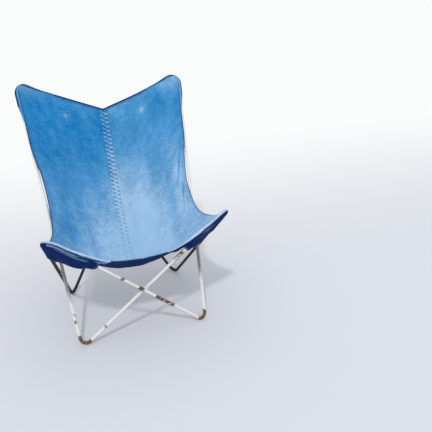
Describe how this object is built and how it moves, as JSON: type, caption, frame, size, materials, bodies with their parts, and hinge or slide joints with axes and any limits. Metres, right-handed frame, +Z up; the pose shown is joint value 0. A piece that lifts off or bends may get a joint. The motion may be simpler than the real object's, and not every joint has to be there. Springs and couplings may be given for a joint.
{
  "type": "butterfly sling chair",
  "caption": "Low lounge chair: a sewn canvas sling hangs by corner pockets on the tips of crossed bent-rod loops that are welded together.",
  "frame": {"origin": "middle of the bounding box on the floor", "axes": "+Z up; the sitter faces -Y; +X to the right as seen from the front"},
  "size_m": [0.6784, 0.6768, 0.8933],
  "materials": {
    "white_paint": "chipped white paint with rust at the foot bends",
    "weld_bead": "painted weld bead, rusty where the paint is lost",
    "faded_canvas": "washed blue canvas, faded on the seat",
    "navy_canvas": "unfaded navy canvas",
    "pale_tape": "pale worn seam tape and thread"
  },
  "bodies": {
    "root": {"frame_loop_left": "white_paint", "butt_weld_left": "weld_bead", "frame_loop_right": "white_paint", "butt_weld_right": "weld_bead", "weld_front_right": "weld_bead", "weld_front_left": "weld_bead", "weld_back_upper": "weld_bead", "weld_back_lower": "weld_bead", "weld_left_upper": "weld_bead", "weld_left_lower": "weld_bead", "weld_right_upper": "weld_bead", "weld_right_lower": "weld_bead", "sling_panel_left": "faded_canvas", "back_pocket_left": "navy_canvas", "front_pocket_left": "navy_canvas", "top_binding_left": "navy_canvas", "front_binding_left": "pale_tape", "side_binding_left": "navy_canvas", "seam_stitching_left": "pale_tape", "bartack_left": "pale_tape", "sling_panel_right": "faded_canvas", "back_pocket_right": "navy_canvas", "front_pocket_right": "navy_canvas", "top_binding_right": "navy_canvas", "front_binding_right": "pale_tape", "side_binding_right": "navy_canvas", "seam_stitching_right": "pale_tape", "bartack_right": "pale_tape", "seam_band": "pale_tape"}
  },
  "joints": []
}
